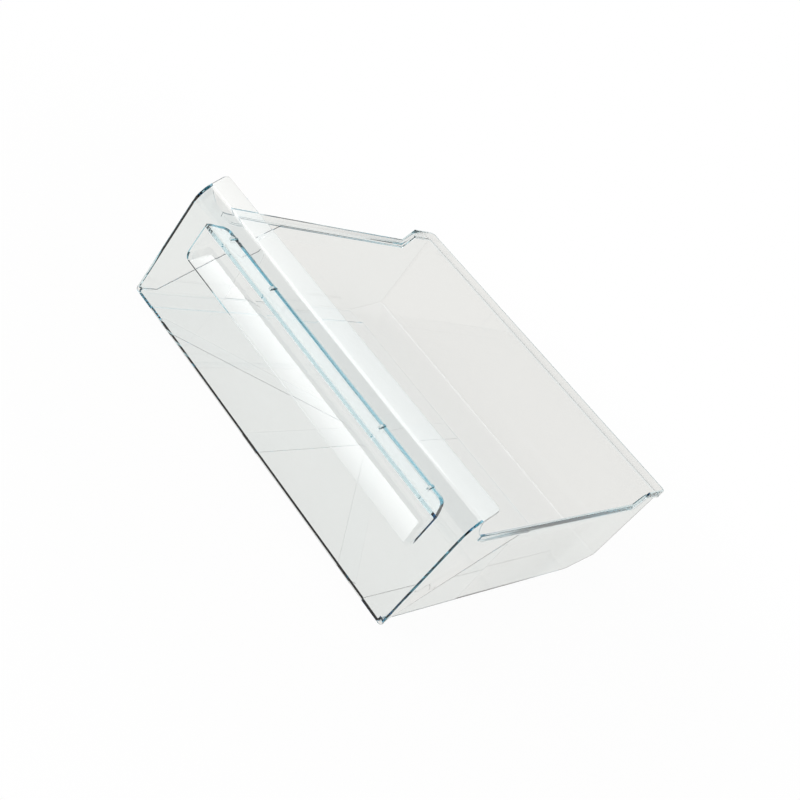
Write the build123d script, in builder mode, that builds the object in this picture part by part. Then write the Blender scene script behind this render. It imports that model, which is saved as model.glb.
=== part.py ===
from build123d import *
import os

os.makedirs("parts", exist_ok=True)

# Overall size, front face to back rim, and the sheet it is moulded in
depth = 430.0
wall = 2.5

# Front panel, upright and then bent back into a lip
panel_width_low = 456.0
panel_width_high = 459.0
panel_straight = 117.75
bend_radius = 41.0
bend_angle = 43.3
lip_length = 18.2
panel_corner_low = 4.0
panel_corner_high = 5.0
panel_edge_radius = 0.8

# Tub behind the panel, with a sloping heel under the back wall
tub_width_low = 447.0
tub_width_high = 452.0
side_height = 120.0
back_height = 138.0
floor_end = 371.0
heel_height = 18.0
back_low = 424.5
back_high = 427.0
heel_fold = 20.0
back_fold = 5.5
side_fold = 3.3

# Rim band that hangs on the cabinet's runners, with a raised stop at the back
rim_width = 458.0
rim_band = 10.0
rim_start = 37.5
rim_tip = 6.0
rim_nose = 14.0
ramp_start = 375.6
ramp_end = 386.8
ramp_shift = 5.8
rim_corner = 6.0
sweep_mid = (23.5, 128.8)

# Floor field between the two skids, and the flow bands under it
skid_width = 26.5
field_back = 380.0
field_rise = 0.8
band_rise = 0.5
middle_band = 26.0
slant_band = 22.0
slant_front_x = 172.0
band_hub = 215.0

# Cheeks of the side walls, which flare out from a slanting crease to the panel's edge, thinner along the crease
cheek_low = 4.0
crease_start = 15.8
crease_rate = 1.113
crease_step = 0.9

# Shallow wedges in the side walls' outer faces
wedge_depth = 0.9
wedge_foot = 131.0
wedge_shoulder = 123.0
wedge_height = 94.0
wedge_end = 300.0
wedge_radius = 8.0

# Finger pocket in the panel
pocket_width = 394.0
pocket_low = 73.0
pocket_high = 113.0
pocket_depth = 17.0
roof_rise = 7.5
scoop_rise = 20.3
pocket_end_slope = 9.0
pocket_radius = 9.0
mouth_radius = 0.4
pocket_wall = 2.2

# Webs standing on the pocket roof
web_inner_x = 95.0
web_outer_x = 171.0
web_width = 3.0
web_length = 8.0
web_height = 4.0

# How far cutters run past the moulding, and the height of the untrimmed tub
overrun = 40.0
open_top = 200.0

# Sizes worked out from the ones above
half_depth = depth / 2
draft_rate = (tub_width_high - tub_width_low) / side_height
tub_width_open = tub_width_low + draft_rate * open_top
back_lean = (back_high - back_low) / (back_height - heel_height)
back_open = back_low + back_lean * (open_top - heel_height)
roof_back = pocket_high + roof_rise
field_width = tub_width_low - 2 * skid_width
floor_top = wall + field_rise
fold_limit = 2 * rim_start - half_depth
draft_slope = draft_rate / 2
wedge_slope = wedge_depth / (wedge_end - wedge_foot)
shoulder = (wedge_shoulder - wedge_end, wedge_height)
web_y = pocket_depth + pocket_wall - half_depth
web_top = roof_back + web_height
pocket_run = pocket_radius
run_share = pocket_run / pocket_depth

side = Plane(origin=(0, -half_depth, 0), x_dir=(0, 1, 0), z_dir=(1, 0, 0))
front = Plane(origin=(0, -half_depth, 0), x_dir=(1, 0, 0), z_dir=(0, -1, 0))
plan = Plane(origin=(0, -half_depth, 0), x_dir=(1, 0, 0), z_dir=(0, 0, 1))


def is_side_fold(edge):
    """A fold along a side of the tub: an edge behind the panel, below the open top and not across the tub."""
    middle = edge.center()
    return abs(middle.X) > pocket_width / 2 and middle.Y > fold_limit and middle.Z < open_top - overrun


# Side outline of the tub as an open-topped block behind the panel's face
with BuildSketch(side) as tub_side:
    with BuildLine():
        upright = Line((0, 0), (0, panel_straight))
        bend = JernArc(upright @ 1, upright % 1, bend_radius, -bend_angle)
        rise_height = open_top - (bend @ 1).Y
        rise = PolarLine(bend @ 1, rise_height, direction=bend % 1, length_mode=LengthMode.VERTICAL)
        Polyline(rise @ 1, (back_open, open_top), (back_low, heel_height), (floor_end, 0), (0, 0))
    make_face()
    fillet(vertices().sort_by_distance((floor_end, 0))[0], radius=heel_fold)
    fillet(vertices().sort_by_distance((back_low, heel_height))[0], radius=back_fold)

with BuildSketch(side) as hollow_side:
    add(tub_side.sketch_local)
    offset(amount=-wall, kind=Kind.INTERSECTION, mode=Mode.REPLACE)

# Tub block and its hollow, both drafted outwards at the sides
with BuildPart() as tub_block:
    extrude(tub_side.sketch, amount=rim_width, both=True)
    with BuildSketch(front):
        with BuildLine():
            Polyline(
                (-tub_width_low / 2, 0),
                (tub_width_low / 2, 0),
                (tub_width_open / 2, open_top),
                (-tub_width_open / 2, open_top),
                close=True,
            )
        make_face()
    extrude(amount=-depth, mode=Mode.INTERSECT)
    fillet(edges().filter_by(is_side_fold), radius=side_fold)

with BuildPart() as tub_hollow:
    extrude(hollow_side.sketch, amount=rim_width, both=True)
    with BuildSketch(front):
        with BuildLine():
            Polyline(
                (wall - tub_width_low / 2, 0),
                (tub_width_low / 2 - wall, 0),
                (tub_width_open / 2 - wall, open_top),
                (wall - tub_width_open / 2, open_top),
                close=True,
            )
        make_face()
    extrude(amount=-depth, mode=Mode.INTERSECT)
    fillet(edges().filter_by(is_side_fold), radius=side_fold - wall)

# Rim band, stepped out from the walls all round the sides and the back
with BuildSketch(side) as band_side:
    with BuildLine():
        Polyline(
            (rim_start, open_top),
            (depth, open_top),
            (depth, back_height - rim_band),
            (ramp_end + ramp_shift, back_height - rim_band),
            (ramp_start + ramp_shift, side_height - rim_band),
            (rim_start + rim_nose, side_height - rim_band),
            (rim_start, side_height - rim_tip),
            close=True,
        )
    make_face()

with BuildSketch(side) as band_hollow_side:
    add(band_side.sketch_local)
    offset(amount=-wall, kind=Kind.INTERSECTION, mode=Mode.REPLACE)

with BuildPart() as rim_block:
    extrude(band_side.sketch, amount=rim_width / 2, both=True)
    fillet(edges().filter_by(Axis.Z).sort_by(Axis.Y)[-2:], radius=rim_corner)

with BuildPart() as rim_hollow:
    extrude(band_hollow_side.sketch, amount=rim_width / 2 - wall, both=True)
    fillet(edges().filter_by(Axis.Z).sort_by(Axis.Y)[-2:], radius=rim_corner - wall)

# Front panel with its bent lip, a little wider than the tub
with BuildPart() as panel:
    with BuildSketch(side):
        with BuildLine():
            face_upright = Line((0, 0), (0, panel_straight))
            face_bend = JernArc(face_upright @ 1, face_upright % 1, bend_radius, -bend_angle)
            face_lip = PolarLine(face_bend @ 1, lip_length, direction=face_bend % 1)
            offset(amount=wall, side=Side.RIGHT, kind=Kind.INTERSECTION)
        make_face()
    extrude(amount=panel_width_high, both=True)
    with BuildSketch(front):
        with BuildLine():
            Polyline(
                (-panel_width_low / 2, 0),
                (panel_width_low / 2, 0),
                (panel_width_high / 2, (face_lip @ 1).Y),
                (-panel_width_high / 2, (face_lip @ 1).Y),
                close=True,
            )
        make_face()
        fillet(vertices().group_by(Axis.Y)[0], radius=panel_corner_low)
        fillet(vertices().group_by(Axis.Y)[-1], radius=panel_corner_high)
    extrude(amount=-depth, mode=Mode.INTERSECT)
    fillet(edges().filter_by(Axis.X).group_by(Axis.Z)[0], radius=panel_edge_radius)

# Cheeks: at every height their plan runs from the panel's edge back to the crease
panel_spread = (panel_width_high - panel_width_low) / (face_lip @ 1).Y / 2
with BuildPart() as cheeks:
    for level in (cheek_low, open_top):
        crease = crease_start + crease_rate * level
        with BuildSketch(plan.offset(level)):
            with BuildLine():
                Polyline(
                    (pocket_width / 2, 0),
                    (panel_width_low / 2 + panel_spread * level, 0),
                    (tub_width_low / 2 + draft_slope * level, crease),
                    (pocket_width / 2, crease),
                    close=True,
                )
            make_face()
    loft(ruled=True)
    extrude(tub_side.sketch, amount=rim_width, both=True, mode=Mode.INTERSECT)
    mirror(about=Plane.YZ)

with BuildPart() as cheek_hollows:
    for level in (cheek_low + wall, open_top):
        crease = crease_start + crease_rate * level
        with BuildSketch(plan.offset(level)):
            with BuildLine():
                Polyline(
                    (pocket_width / 2, 0),
                    (panel_width_low / 2 + panel_spread * level - wall, 0),
                    (tub_width_low / 2 + draft_slope * level - wall + crease_step, crease),
                    (pocket_width / 2, crease),
                    close=True,
                )
            make_face()
    loft(ruled=True)
    extrude(hollow_side.sketch, amount=rim_width, both=True, mode=Mode.INTERSECT)
    mirror(about=Plane.YZ)

# Where the sides' top edge ends, in the middle of the panel's thickness
sweep_end = bend @ 1 + (bend % 1).rotate(Axis.Z, -90) * wall / 2

# Thin shell: block and band trimmed to the top outline, then hollowed
with BuildPart() as shell:
    add(tub_block.part)
    add(cheeks.part)
    add(rim_block.part)
    with BuildSketch(side):
        with BuildLine():
            Polyline(
                (panel_edge_radius, -overrun),
                (depth + overrun, -overrun),
                (depth + overrun, back_height),
                (ramp_end, back_height),
                (ramp_start, side_height),
                (rim_start, side_height),
            )
            ThreePointArc((rim_start, side_height), sweep_mid, sweep_end)
            Polyline(sweep_end, (panel_edge_radius, sweep_end.Y), (panel_edge_radius, -overrun))
        make_face()
    extrude(amount=rim_width, both=True, mode=Mode.INTERSECT)
    add(tub_hollow.part, mode=Mode.SUBTRACT)
    add(cheek_hollows.part, mode=Mode.SUBTRACT)
    add(rim_hollow.part, mode=Mode.SUBTRACT)

# Hollow of the finger pocket, whose slopes run on in front of the panel
with BuildPart() as pocket_hollow:
    with BuildSketch(side):
        with BuildLine():
            Polyline(
                (pocket_depth, pocket_low + scoop_rise),
                (pocket_depth, roof_back),
                (-pocket_run, pocket_high - roof_rise * run_share),
                (-pocket_run, pocket_low - scoop_rise * run_share),
                close=True,
            )
        make_face()
    extrude(amount=pocket_width, both=True)
    with BuildSketch(plan):
        with BuildLine():
            Polyline(
                (-pocket_width / 2 - pocket_end_slope * run_share, -pocket_run),
                (pocket_width / 2 + pocket_end_slope * run_share, -pocket_run),
                (pocket_width / 2 - pocket_end_slope, pocket_depth),
                (pocket_end_slope - pocket_width / 2, pocket_depth),
                close=True,
            )
        make_face()
    extrude(amount=open_top, both=True, mode=Mode.INTERSECT)
    pocket_roof = faces().sort_by(Axis.Z)[-1]
    pocket_mouth = faces().sort_by(Axis.Y)[0]
    fillet(edges() - pocket_roof.edges() - pocket_mouth.edges(), radius=pocket_radius)

# The pocket's own wall, grown from the hollow and kept behind the panel's face
with BuildPart() as pocket_shell:
    add(pocket_hollow.part)
    offset(amount=pocket_wall, kind=Kind.INTERSECTION)
    extrude(tub_side.sketch, amount=pocket_width, both=True, mode=Mode.INTERSECT)

# Cutter for the wedge in the right wall, mirrored for the left one
outer_wedge = Plane(
    origin=(tub_width_low / 2, wedge_end - half_depth, 0),
    x_dir=(0, 1, 0),
    z_dir=(1, -wedge_slope, -draft_slope),
)
with BuildPart() as wedges:
    with BuildSketch(outer_wedge):
        with BuildLine():
            Polyline(
                (wedge_foot - wedge_end, -overrun),
                (wedge_foot - wedge_end, 0),
                shoulder,
                (0, wedge_height),
                (0, -overrun),
                close=True,
            )
        make_face()
        fillet(vertices().sort_by_distance(shoulder)[0], radius=wedge_radius)
    extrude(amount=wall)
    mirror(about=Plane.YZ)

# Raised field of the floor and the flow bands under it
with BuildSketch(plan) as field:
    with Locations((0, (wall + field_back) / 2)):
        Rectangle(field_width, field_back - wall)

with BuildSketch(plan.offset(field_rise)) as bands:
    with BuildLine():
        Line((0, 0), (0, floor_end))
    trace(line_width=middle_band)
    with BuildLine():
        Line((-slant_front_x, 0), (0, band_hub))
        Line((slant_front_x, 0), (0, band_hub))
    trace(line_width=slant_band)
    add(field.sketch_local, mode=Mode.INTERSECT)

# The whole moulding
with BuildPart() as drawer:
    add(shell.part)
    add(wedges.part, mode=Mode.SUBTRACT)
    add(panel.part)
    add(pocket_shell.part)
    with Locations(
        (-web_outer_x, web_y, web_top),
        (-web_inner_x, web_y, web_top),
        (web_inner_x, web_y, web_top),
        (web_outer_x, web_y, web_top),
    ):
        Box(web_width, web_length, web_top - pocket_high, align=(Align.CENTER, Align.MAX, Align.MAX))
    add(pocket_hollow.part, mode=Mode.SUBTRACT)
    extrude(field.sketch, amount=floor_top)
    extrude(field.sketch, amount=field_rise, mode=Mode.SUBTRACT)
    extrude(bands.sketch, amount=-band_rise)
    panel_face = faces().filter_by(Axis.Y).sort_by(Axis.Y)[0]
    fillet(panel_face.inner_wires()[0].edges(), radius=mouth_radius)

drawer.part.label = "drawer"
export_step(drawer.part, "parts/drawer.step")
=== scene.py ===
"""Clear freezer drawer: the moulding's finish, a plain studio and the camera, as an add-on."""

import math

import bmesh
import bpy
from mathutils import Matrix, Vector


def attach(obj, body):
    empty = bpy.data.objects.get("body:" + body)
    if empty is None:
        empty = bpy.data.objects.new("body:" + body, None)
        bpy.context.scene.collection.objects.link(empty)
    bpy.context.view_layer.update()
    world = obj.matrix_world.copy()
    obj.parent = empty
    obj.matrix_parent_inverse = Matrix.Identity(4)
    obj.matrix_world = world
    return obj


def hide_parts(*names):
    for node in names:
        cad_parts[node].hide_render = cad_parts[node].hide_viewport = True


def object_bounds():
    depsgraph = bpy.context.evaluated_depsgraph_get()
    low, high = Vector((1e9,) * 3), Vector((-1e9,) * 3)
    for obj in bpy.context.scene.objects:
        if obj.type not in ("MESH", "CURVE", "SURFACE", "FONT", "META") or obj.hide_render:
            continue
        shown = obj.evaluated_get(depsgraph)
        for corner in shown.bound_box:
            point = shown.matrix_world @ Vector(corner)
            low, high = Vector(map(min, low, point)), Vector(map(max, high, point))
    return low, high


bl_info = {
    "name": "Clear Freezer Drawer",
    "version": (1, 0, 0),
    "blender": (4, 5, 0),
    "location": "View3D > Sidebar > Drawer",
    "description": "Dresses a clear moulded freezer drawer and sets up its studio",
    "category": "Object",
}

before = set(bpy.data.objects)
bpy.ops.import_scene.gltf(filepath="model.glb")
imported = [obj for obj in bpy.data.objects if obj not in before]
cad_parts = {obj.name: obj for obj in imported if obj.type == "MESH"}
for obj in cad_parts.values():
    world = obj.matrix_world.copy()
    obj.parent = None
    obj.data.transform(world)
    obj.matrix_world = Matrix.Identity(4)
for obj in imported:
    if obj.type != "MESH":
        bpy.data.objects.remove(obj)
cad_box = [list(corner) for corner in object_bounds()]

# Where the front panel's face stands along Y
FRONT = cad_box[0][1]

# Where the solid's raised floor plate ends under the heel
PLATE_END = FRONT + 0.38

# Points closer than this are one point
SAME = 1e-6

# Faces that turn by less than this against each other are joined into one
ONE_FACE = math.radians(0.1)

# Faces that turn by less than this against each other belong to one level area
ONE_LEVEL = math.radians(0.3)

# Facets across a rounded edge, and the bevel profile of a circular arc
EDGE_FACETS = 2
ARC_PROFILE = 0.5

# Layers of finer noise in the ripples
RIPPLE_DETAIL = 1.0

# The rubbing's noise: its scale, its layers of finer noise and their strength
RUB_SCALE = 30.0
RUB_DETAIL = 6.0
RUB_ROUGHNESS = 0.7

# Noise values between which the gloss goes from clean to rubbed
RUB_SPAN = (0.5, 0.8)

# Distances from the drawer's middle between which the floor's shading fades into white
SHADE_SPAN = (0.35, 0.9)

# Where the dim side turns into the backdrop, from -1 straight in front to 1 straight behind
BACKDROP_SPAN = (-0.4, 0.3)

# The floor lies this far below the drawer
FLOOR_GAP = 0.0005

# The softboxes: the width runs along X, the height along up, and the fades are shares of the height
STRIP_BOX = {
    "centre": (-0.85, -1.028, 1.379),
    "width": 1.7,
    "height": 0.62,
    "up": (0.0, 0.8315, 0.5556),
    "lower_fade": 0.21,
    "upper_fade": 0.65,
}
CEILING_BOX = {
    "centre": (-0.5, -0.1, 2.2),
    "width": 3.4,
    "height": 1.6,
    "up": (0.0, 1.0, 0.0),
    "lower_fade": 0.2,
    "upper_fade": 0.3,
}

# The camera's focal length and picture width in pixels, and its sensor in millimetres
FOCAL_PIXELS = 1161.2
PICTURE_PIXELS = 800.0
SENSOR_WIDTH = 36.0

# The camera's place from the middle of the panel's foot, and its directions to the right and ahead
CAMERA_PLACE = (0.5111, -0.8533, 0.5938)
CAMERA_RIGHT = (0.578, 0.574, 0.580)
CAMERA_AHEAD = (-0.39676, 0.81888, -0.41475)

# How often light may turn on its way through the sheets
BOUNCES = 32

WHITE = (1.0, 1.0, 1.0, 1.0)


class DrawerPlastic(bpy.types.PropertyGroup):
    """The clear plastic's finish."""

    tint: bpy.props.FloatVectorProperty(
        name="Tint",
        description="Colour that light keeps on a long way through the sheet",
        subtype="COLOR",
        size=3,
        min=0.0,
        max=1.0,
        default=(0.37, 0.82, 0.92),
    )
    depth_of_tint: bpy.props.FloatProperty(
        name="Depth of tint",
        description="How much a metre of plastic absorbs",
        default=20.0,
        min=0.0,
    )
    ior: bpy.props.FloatProperty(
        name="Index of refraction",
        description="How strongly the plastic bends light",
        default=1.57,
        min=1.0,
        max=2.5,
    )
    polish: bpy.props.FloatProperty(
        name="Polish",
        description="Roughness of the cleanest gloss",
        default=0.008,
        min=0.0,
        max=1.0,
    )
    scuff: bpy.props.FloatProperty(
        name="Scuff",
        description="Roughness where the gloss is rubbed",
        default=0.02,
        min=0.0,
        max=1.0,
    )
    ripple_length: bpy.props.FloatProperty(
        name="Ripple length",
        description="Length of the slow waves that moulding leaves",
        default=0.045,
        min=0.001,
        unit="LENGTH",
    )
    ripple_height: bpy.props.FloatProperty(
        name="Ripple height",
        description="Height of the slow waves that moulding leaves",
        default=0.00002,
        min=0.0,
        unit="LENGTH",
    )
    level_width: bpy.props.FloatProperty(
        name="Level width",
        description="Flat areas wider than this are shaded dead flat",
        default=0.008,
        min=0.0,
        unit="LENGTH",
    )
    edge_round: bpy.props.FloatProperty(
        name="Edge rounding",
        description="How far crisp edges are rounded off",
        default=0.0004,
        min=0.0,
        unit="LENGTH",
    )
    edge_room: bpy.props.FloatProperty(
        name="Edge room",
        description="Areas narrower than this keep their edges as they are",
        default=0.0015,
        min=0.0,
        unit="LENGTH",
    )
    fold: bpy.props.FloatProperty(
        name="Sharp fold",
        description="Edges that turn by more than this stay crisp",
        default=math.radians(50.0),
        min=0.0,
        max=math.pi,
        subtype="ANGLE",
    )


class DrawerStage(bpy.types.PropertyGroup):
    """The studio around the drawer."""

    floor_size: bpy.props.FloatProperty(
        name="Floor size",
        description="Side of the pale floor",
        default=12.0,
        unit="LENGTH",
    )
    paper: bpy.props.FloatVectorProperty(
        name="Paper",
        description="Colour of the floor",
        subtype="COLOR",
        size=3,
        min=0.0,
        max=1.0,
        default=(0.885, 0.86, 0.83),
    )
    room: bpy.props.FloatVectorProperty(
        name="Room",
        description="Colour of the room's even light",
        subtype="COLOR",
        size=3,
        min=0.0,
        max=1.0,
        default=(0.55, 0.55, 0.56),
    )
    backdrop: bpy.props.FloatVectorProperty(
        name="Backdrop",
        description="Colour behind the drawer, as gloss and clear plastic show it",
        subtype="COLOR",
        size=3,
        min=0.0,
        max=1.0,
        default=(0.90, 0.885, 0.87),
    )
    dim_side: bpy.props.FloatVectorProperty(
        name="Dim side",
        description="Colour of the unlit room in front, as gloss and clear plastic show it",
        subtype="COLOR",
        size=3,
        min=0.0,
        max=1.0,
        default=(0.15, 0.19, 0.22),
    )
    strip: bpy.props.FloatProperty(
        name="Strip",
        description="Brightness of the long softbox in front, where 1 is white",
        default=3.1,
        min=0.0,
    )
    ceiling: bpy.props.FloatProperty(
        name="Ceiling",
        description="Brightness of the large softbox overhead, where 1 is white",
        default=1.3,
        min=0.0,
    )
    shadow: bpy.props.FloatProperty(
        name="Shadow",
        description="How much of the floor's shading shows around the drawer",
        default=0.04,
        min=0.0,
        max=1.0,
        subtype="FACTOR",
    )
    paper_glow: bpy.props.FloatProperty(
        name="Paper glow",
        description="How evenly the paper shows through the plastic and in its gloss",
        default=0.85,
        min=0.0,
        max=1.0,
        subtype="FACTOR",
    )


def level_faces(shape, least_width):
    """Faces of level areas, each with its area's size.

    An area is a run of faces that lie in one plane; its width is its size over its longest reach.
    Narrower runs are strips of a rounded fold and are left out.
    """
    level = {}
    waiting = dict.fromkeys(shape.faces)
    while waiting:
        run = [waiting.popitem()[0]]
        for face in run:
            for edge in face.edges:
                if edge.calc_face_angle(math.pi) < ONE_LEVEL:
                    for beside in edge.link_faces:
                        if beside in waiting:
                            del waiting[beside]
                            run.append(beside)
        corners = [vert.co for face in run for vert in face.verts]
        low = Vector(map(min, zip(*corners)))
        high = Vector(map(max, zip(*corners)))
        size = sum(face.calc_area() for face in run)
        if size > least_width * (high - low).length:
            level.update((face, size) for face in run)
    return level


def corner_normal(loop, level):
    """A corner's normal: its own face's on a level area, or the largest level area's beside it on a fold.

    Elsewhere it is the mean of the faces that turn smoothly around the corner, weighed by their angles.
    """
    if loop.face in level:
        return loop.face.normal
    fan = [loop]
    for corner in fan:
        for edge in (corner.edge, corner.link_loop_prev.edge):
            if edge.smooth:
                around = [other for face in edge.link_faces for other in face.loops]
                fan.extend(other for other in around if other.vert == loop.vert and other not in fan)
    beside = [corner.face for corner in fan if corner.face in level]
    if beside:
        return max(beside, key=level.get).normal
    return sum((corner.face.normal * corner.calc_angle() for corner in fan), Vector()).normalized()


def clear_heel(shape):
    """Lift the end of the floor plate's underside into the heel's underside, from where the two meet.

    The solid's plate runs on under the heel, where the drawer shows none.
    """
    end = [vert.co.z for vert in shape.verts if abs(vert.co.y - PLATE_END) < SAME]
    low, high = min(end), max(end)
    plate = [face for face in shape.faces if all(abs(vert.co.z - low) < SAME for vert in face.verts)]
    edges = list(dict.fromkeys(edge for face in plate for edge in face.edges))
    verts = list(dict.fromkeys(vert for face in plate for vert in face.verts))
    meeting = max(vert.co.y for vert in verts if vert.co.y < PLATE_END - SAME)
    bmesh.ops.bisect_plane(
        shape,
        geom=plate + edges + verts,
        dist=SAME,
        plane_co=(0.0, meeting, 0.0),
        plane_no=(0.0, 1.0, 0.0),
    )
    for vert in shape.verts:
        if abs(vert.co.y - PLATE_END) < SAME:
            vert.co.z = high
    bmesh.ops.remove_doubles(shape, verts=shape.verts, dist=SAME)


def round_edges(shape, finish):
    """Round the crisp edges between level areas that are wide enough for it."""
    bmesh.ops.dissolve_limit(shape, angle_limit=ONE_FACE, verts=shape.verts, edges=shape.edges)
    wide = level_faces(shape, finish.edge_room)
    crisp = [
        edge
        for edge in shape.edges
        if edge.calc_face_angle(0.0) > finish.fold and all(face in wide for face in edge.link_faces)
    ]
    bmesh.ops.bevel(
        shape,
        geom=crisp,
        offset=finish.edge_round,
        offset_type="OFFSET",
        segments=EDGE_FACETS,
        profile=ARC_PROFILE,
        affect="EDGES",
    )
    bmesh.ops.triangulate(shape, faces=shape.faces)


def smooth_copy(name, source, finish):
    """A copy of a CAD node's mesh with its triangles joined, its heel cleared and its crisp edges rounded.

    Level areas are shaded level, and folds smoothly.
    """
    shape = bmesh.new()
    shape.from_mesh(source.data)
    bmesh.ops.remove_doubles(shape, verts=shape.verts, dist=SAME)
    clear_heel(shape)
    shape.normal_update()
    round_edges(shape, finish)
    shape.normal_update()
    for face in shape.faces:
        face.smooth = True
    for edge in shape.edges:
        edge.smooth = edge.calc_face_angle(0.0) < finish.fold
    level = level_faces(shape, finish.level_width)
    normals = [corner_normal(loop, level) for face in shape.faces for loop in face.loops]
    mesh = bpy.data.meshes.new(name)
    shape.to_mesh(mesh)
    shape.free()
    # The CAD node's own normals come along with its mesh
    if "custom_normal" in mesh.attributes:
        mesh.attributes.remove(mesh.attributes["custom_normal"])
    mesh.normals_split_custom_set(normals)
    piece = bpy.data.objects.new(name, mesh)
    bpy.context.scene.collection.objects.link(piece)
    return piece


def fresh_tree(owner):
    """The emptied node tree of a material, a world or a lamp."""
    owner.use_nodes = True
    owner.node_tree.nodes.clear()
    return owner.node_tree


def add_node(tree, kind, inputs=None, **settings):
    """A new node with its settings; each input given takes a link from a socket, or else a constant."""
    node = tree.nodes.new(kind)
    for name, value in settings.items():
        setattr(node, name, value)
    for key, value in (inputs or {}).items():
        if isinstance(value, bpy.types.NodeSocket):
            tree.links.new(value, node.inputs[key])
        else:
            node.inputs[key].default_value = value
    return node


def math_node(tree, operation, first, second):
    """The output of a Math node whose inputs are sockets or plain numbers."""
    return add_node(tree, "ShaderNodeMath", {0: first, 1: second}, operation=operation).outputs[0]


def ramp(tree, value, span, ends=(0.0, 1.0), course="SMOOTHSTEP"):
    """A value that goes from one of the ends to the other while its source crosses the span."""
    inputs = {
        "Value": value,
        "From Min": span[0],
        "From Max": span[1],
        "To Min": ends[0],
        "To Max": ends[1],
    }
    return add_node(tree, "ShaderNodeMapRange", inputs, interpolation_type=course).outputs[0]


def mix_shaders(tree, share, first, second):
    """The first of two shaders with a share of the second."""
    return add_node(tree, "ShaderNodeMixShader", {0: share, 1: first, 2: second}).outputs[0]


def seen_by_plastic(tree, path):
    """1 for what shows in gloss or through the plastic, and 0 for the rest."""
    return math_node(tree, "MAXIMUM", path["Is Glossy Ray"], path["Is Transmission Ray"])


def clear_plastic(finish):
    """Clear plastic: slow ripples and light rubbing on the gloss, and a tint that builds up with depth."""
    material = bpy.data.materials.new("clear_plastic")
    tree = fresh_tree(material)
    place = add_node(tree, "ShaderNodeTexCoord").outputs["Object"]

    ripple = add_node(
        tree,
        "ShaderNodeTexNoise",
        {"Vector": place, "Scale": 1.0 / finish.ripple_length, "Detail": RIPPLE_DETAIL},
    )
    bump = add_node(
        tree,
        "ShaderNodeBump",
        {"Strength": 1.0, "Distance": finish.ripple_height, "Height": ripple.outputs["Fac"]},
    )
    rubbing = add_node(
        tree,
        "ShaderNodeTexNoise",
        {"Vector": place, "Scale": RUB_SCALE, "Detail": RUB_DETAIL, "Roughness": RUB_ROUGHNESS},
    )
    gloss = ramp(tree, rubbing.outputs["Fac"], RUB_SPAN, (finish.polish, finish.scuff), "LINEAR")
    shader = add_node(
        tree,
        "ShaderNodeBsdfPrincipled",
        {
            "Base Color": WHITE,
            "Transmission Weight": 1.0,
            "IOR": finish.ior,
            "Roughness": gloss,
            "Normal": bump.outputs["Normal"],
        },
    )
    absorb = add_node(
        tree,
        "ShaderNodeVolumeAbsorption",
        {"Color": (*finish.tint, 1.0), "Density": finish.depth_of_tint},
    )
    add_node(
        tree,
        "ShaderNodeOutputMaterial",
        {"Surface": shader.outputs["BSDF"], "Volume": absorb.outputs["Volume"]},
    )
    return material


def floor_paper(studio):
    """Pale paper: white to the camera but for the drawer's shadow, and its own tone through the plastic."""
    material = bpy.data.materials.new("paper")
    tree = fresh_tree(material)
    place = add_node(tree, "ShaderNodeTexCoord").outputs["Object"]
    away = add_node(tree, "ShaderNodeVectorMath", {0: place}, operation="LENGTH").outputs["Value"]
    white_share = math_node(tree, "SUBTRACT", 1.0, ramp(tree, away, SHADE_SPAN, (studio.shadow, 0.0)))
    path = add_node(tree, "ShaderNodeLightPath").outputs
    camera_share = math_node(tree, "MULTIPLY", path["Is Camera Ray"], white_share)
    paper_share = math_node(tree, "MULTIPLY", seen_by_plastic(tree, path), studio.paper_glow)

    tone = (*studio.paper, 1.0)
    shaded = add_node(tree, "ShaderNodeBsdfDiffuse", {"Color": tone}).outputs[0]
    even = add_node(tree, "ShaderNodeEmission", {"Color": tone}).outputs[0]
    white = add_node(tree, "ShaderNodeEmission", {"Color": WHITE}).outputs[0]
    seen_through = mix_shaders(tree, paper_share, shaded, even)
    seen = mix_shaders(tree, camera_share, seen_through, white)
    add_node(tree, "ShaderNodeOutputMaterial", {"Surface": seen})
    return material


def light_room(world, studio):
    """Even light from the room, which is white to the camera.

    Gloss and clear plastic show a pale backdrop and a dim front instead.
    """
    tree = fresh_tree(world)
    direction = add_node(tree, "ShaderNodeTexCoord").outputs["Generated"]
    backwards = add_node(tree, "ShaderNodeSeparateXYZ", {0: direction}).outputs["Y"]
    surroundings = add_node(
        tree,
        "ShaderNodeMix",
        {
            "Factor": ramp(tree, backwards, BACKDROP_SPAN),
            "A": (*studio.dim_side, 1.0),
            "B": (*studio.backdrop, 1.0),
        },
        data_type="RGBA",
    )
    room = add_node(tree, "ShaderNodeBackground", {"Color": (*studio.room, 1.0)}).outputs[0]
    backdrop = add_node(tree, "ShaderNodeBackground", {"Color": surroundings.outputs["Result"]}).outputs[0]
    white = add_node(tree, "ShaderNodeBackground", {"Color": WHITE}).outputs[0]
    path = add_node(tree, "ShaderNodeLightPath").outputs
    around = mix_shaders(tree, seen_by_plastic(tree, path), room, backdrop)
    seen = mix_shaders(tree, path["Is Camera Ray"], around, white)
    add_node(tree, "ShaderNodeOutputWorld", {"Surface": seen})


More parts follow.
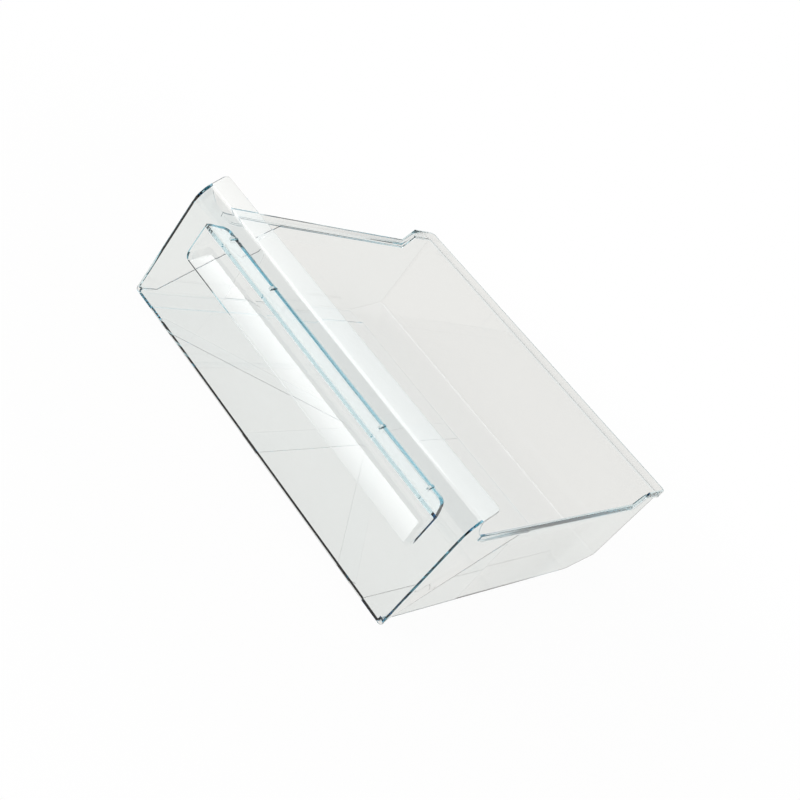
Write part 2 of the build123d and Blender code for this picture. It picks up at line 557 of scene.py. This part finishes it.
def softbox(name, brightness, centre, width, height, up, lower_fade, upper_fade):
    """An area lamp lying along X, whose other side points along up; it shines away from X cross up.

    Its light fades out towards its lower and its upper edge.
    """
    lamp = bpy.data.lights.new(name, "AREA")
    lamp.shape = "RECTANGLE"
    lamp.size = width
    lamp.size_y = height
    lamp.energy = brightness * math.pi * width * height
    tree = fresh_tree(lamp)
    place = add_node(tree, "ShaderNodeNewGeometry").outputs["Parametric"]
    upwards = add_node(tree, "ShaderNodeSeparateXYZ", {0: place}).outputs["Y"]
    lower = ramp(tree, upwards, (0.0, lower_fade))
    upper = ramp(tree, upwards, (1.0, 1.0 - upper_fade))
    strength = math_node(tree, "MULTIPLY", lower, upper)
    glow = add_node(tree, "ShaderNodeEmission", {"Strength": strength}).outputs[0]
    add_node(tree, "ShaderNodeOutputLight", {"Surface": glow})

    along = Vector((1.0, 0.0, 0.0))
    upright = Vector(up).normalized()
    turn = Matrix((along, upright, along.cross(upright))).transposed()
    holder = bpy.data.objects.new(name, lamp)
    holder.matrix_world = Matrix.Translation(centre) @ turn.to_4x4()
    bpy.context.scene.collection.objects.link(holder)


def paper_floor(studio):
    """A square of paper under the drawer."""
    half = studio.floor_size / 2
    mesh = bpy.data.meshes.new("floor")
    corners = [(-half, -half, 0.0), (half, -half, 0.0), (half, half, 0.0), (-half, half, 0.0)]
    mesh.from_pydata(corners, [], [(0, 1, 2, 3)])
    mesh.materials.append(floor_paper(studio))
    floor = bpy.data.objects.new("floor", mesh)
    floor.location.z = -FLOOR_GAP
    bpy.context.scene.collection.objects.link(floor)
    return floor


def set_camera(scene):
    """Look at the drawer from the front right and above, with the picture rolled."""
    camera = bpy.data.cameras.new("camera")
    camera.sensor_fit = "HORIZONTAL"
    camera.sensor_width = SENSOR_WIDTH
    camera.lens = FOCAL_PIXELS * SENSOR_WIDTH / PICTURE_PIXELS
    ahead = Vector(CAMERA_AHEAD).normalized()
    up = Vector(CAMERA_RIGHT).normalized().cross(ahead).normalized()
    right = ahead.cross(up).normalized()
    turn = Matrix((right, up, -ahead)).transposed()
    x, y, z = CAMERA_PLACE
    holder = bpy.data.objects.new("camera", camera)
    holder.matrix_world = Matrix.Translation((x, FRONT + y, z)) @ turn.to_4x4()
    scene.collection.objects.link(holder)
    scene.camera = holder


class DRAWER_OT_moulding(bpy.types.Operator):
    """Dress the drawer's moulding in clear plastic"""

    bl_idname = "drawer.moulding"
    bl_label = "Moulding"

    def execute(self, context):
        finish = context.scene.drawer_plastic
        piece = smooth_copy("drawer_moulding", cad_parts["drawer"], finish)
        piece.data.materials.append(clear_plastic(finish))
        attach(piece, "root")
        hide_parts("drawer")
        return {"FINISHED"}


class DRAWER_OT_stage(bpy.types.Operator):
    """Lay the floor and set the lights and the camera"""

    bl_idname = "drawer.stage"
    bl_label = "Studio"

    def execute(self, context):
        scene = context.scene
        studio = scene.drawer_stage
        floor = paper_floor(studio)
        scene.world = bpy.data.worlds.new("studio")
        light_room(scene.world, studio)
        softbox("strip", studio.strip, **STRIP_BOX)
        softbox("ceiling", studio.ceiling, **CEILING_BOX)
        set_camera(scene)
        scene.view_settings.view_transform = "Standard"
        scene.cycles.max_bounces = BOUNCES
        scene.cycles.glossy_bounces = BOUNCES
        scene.cycles.transmission_bounces = BOUNCES
        return {"FINISHED"}


class DRAWER_PT_sidebar(bpy.types.Panel):
    """The drawer's pieces and studio"""

    bl_label = "Freezer Drawer"
    bl_idname = "DRAWER_PT_sidebar"
    bl_space_type = "VIEW_3D"
    bl_region_type = "UI"
    bl_category = "Drawer"

    def draw(self, context):
        self.layout.operator(DRAWER_OT_moulding.bl_idname)
        self.layout.operator(DRAWER_OT_stage.bl_idname)


CLASSES = (DrawerPlastic, DrawerStage, DRAWER_OT_moulding, DRAWER_OT_stage, DRAWER_PT_sidebar)


def register():
    for cls in CLASSES:
        bpy.utils.register_class(cls)
    bpy.types.Scene.drawer_plastic = bpy.props.PointerProperty(type=DrawerPlastic)
    bpy.types.Scene.drawer_stage = bpy.props.PointerProperty(type=DrawerStage)


def unregister():
    del bpy.types.Scene.drawer_stage
    del bpy.types.Scene.drawer_plastic
    for cls in reversed(CLASSES):
        bpy.utils.unregister_class(cls)


def main():
    register()
    bpy.ops.drawer.moulding()
    bpy.ops.drawer.stage()


if __name__ == "__main__":
    main()
